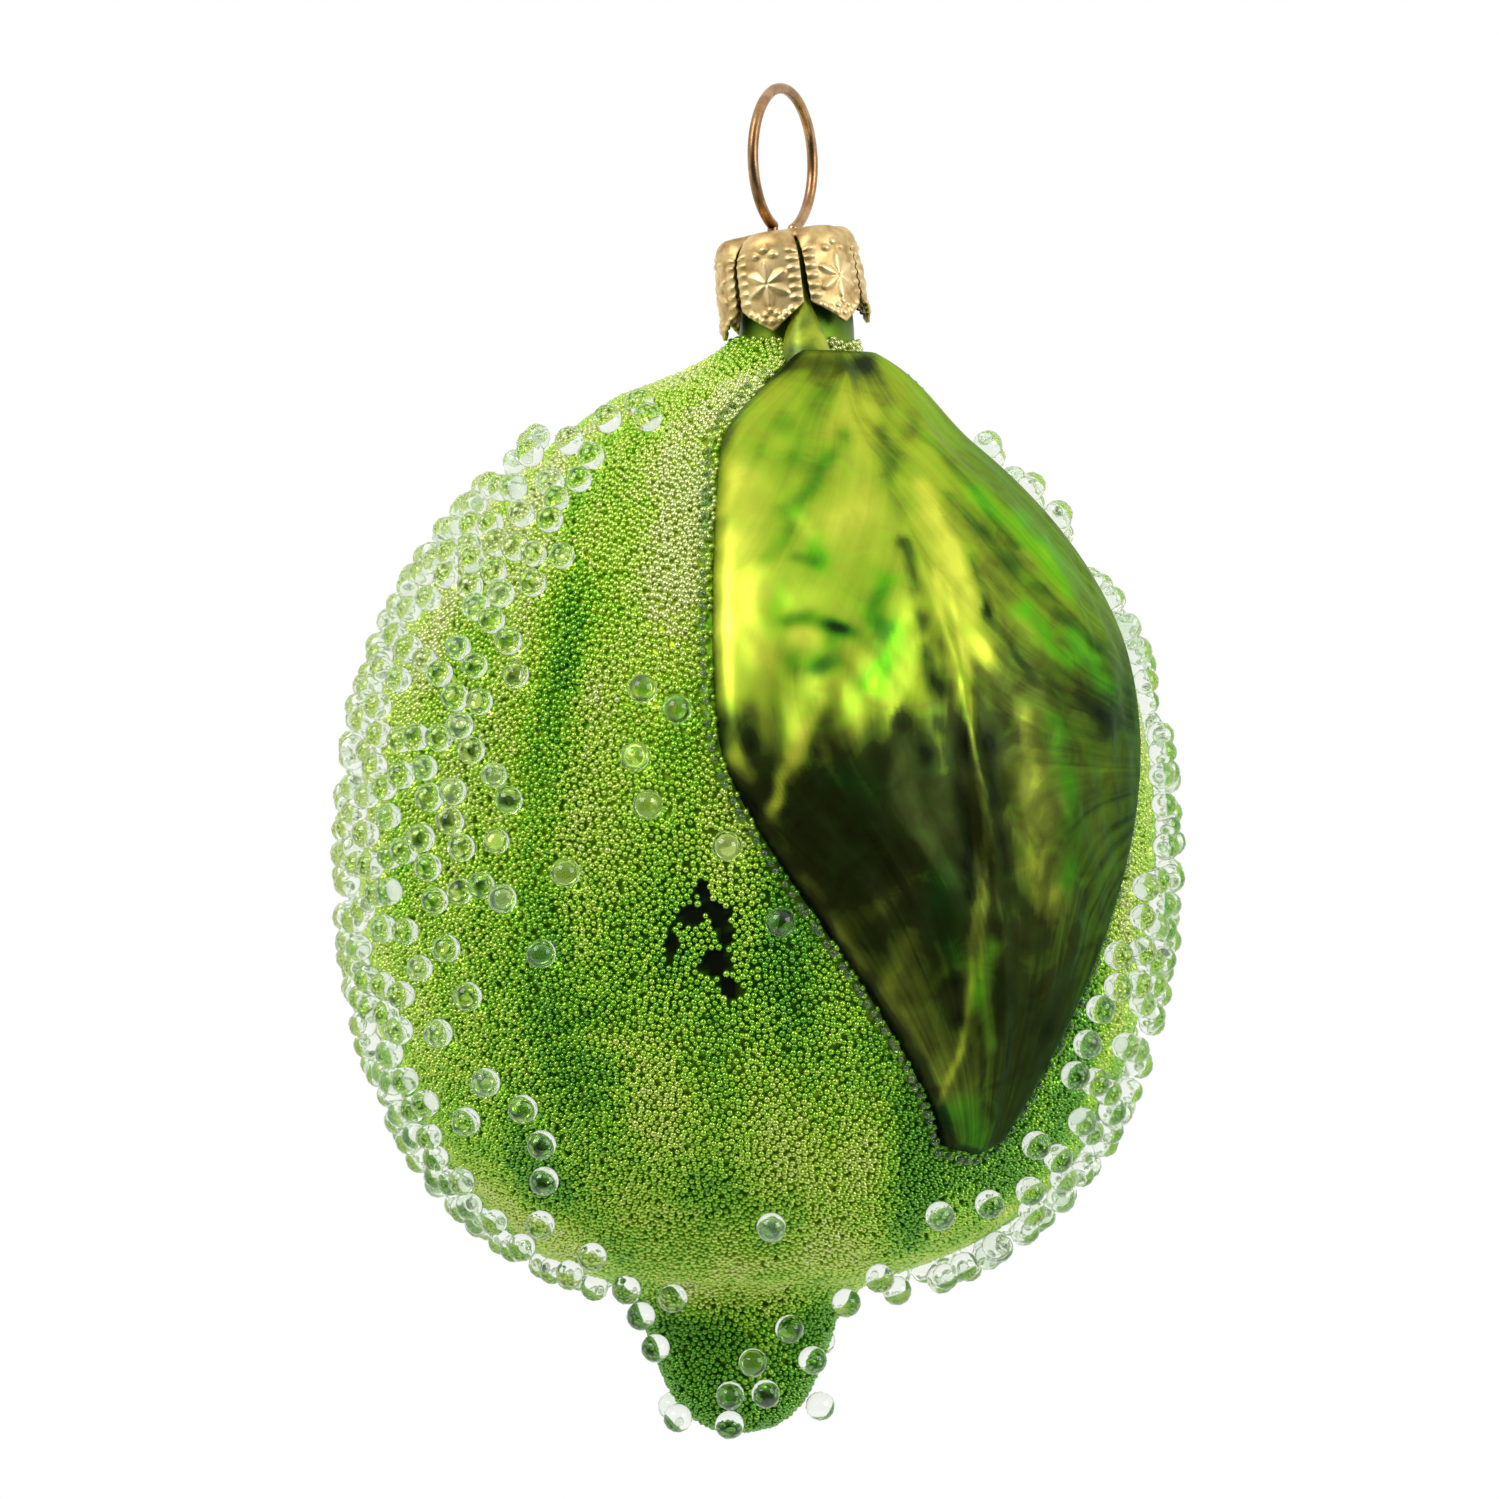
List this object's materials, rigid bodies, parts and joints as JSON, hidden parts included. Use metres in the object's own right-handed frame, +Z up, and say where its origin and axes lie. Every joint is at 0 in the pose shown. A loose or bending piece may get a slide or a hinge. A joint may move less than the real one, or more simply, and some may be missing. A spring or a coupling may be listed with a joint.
{
  "type": "hanging glass ornament",
  "caption": "Lime-shaped blown-glass ornament with a raised leaf, a coat of small clear glass beads, a stamped crown cap and a wire loop to hang it by.",
  "frame": {"origin": "middle of the wire loop that the ornament hangs by", "axes": "+Z up, against the pull of the hanging ornament; -Y the way the face with the leaf looks; +X to the right of that face"},
  "size_m": [0.0599, 0.0598, 0.0946],
  "materials": {
    "copper_wire": "aged copper-coloured wire, semi-gloss",
    "gold_sheet": "antique gold stamped sheet, semi-gloss",
    "green_glass": "glossy green lacquer on silvered blown glass",
    "silvering": "silvered inside",
    "leaf_glass": "satin-gloss green lacquer on silvered blown glass",
    "bead_glass": "clear polished glass"
  },
  "bodies": {
    "hanger": {"hanger_wire": "copper_wire"},
    "cap": {"cap_crown": "gold_sheet"},
    "bauble": {"glass_shell": "green_glass", "mirror_lining": "silvering", "leaf": "leaf_glass", "fine_bead_coat": "bead_glass", "left_flank_beads": "bead_glass", "right_flank_beads": "bead_glass", "back_beads": "bead_glass", "face_beads": "bead_glass", "nipple_beads": "bead_glass"}
  },
  "joints": [
    {"name": "loop_rock", "type": "hinge", "parent": "hanger", "child": "cap", "pos_m": [0, 0, -0.00523], "axis": [0.4226, 0.9063, 0], "range_deg": [-5, 5]},
    {"name": "cap_pull", "type": "slide", "parent": "cap", "child": "bauble", "axis": [0, 0, -1], "range_m": [0, 0.016]}
  ]
}
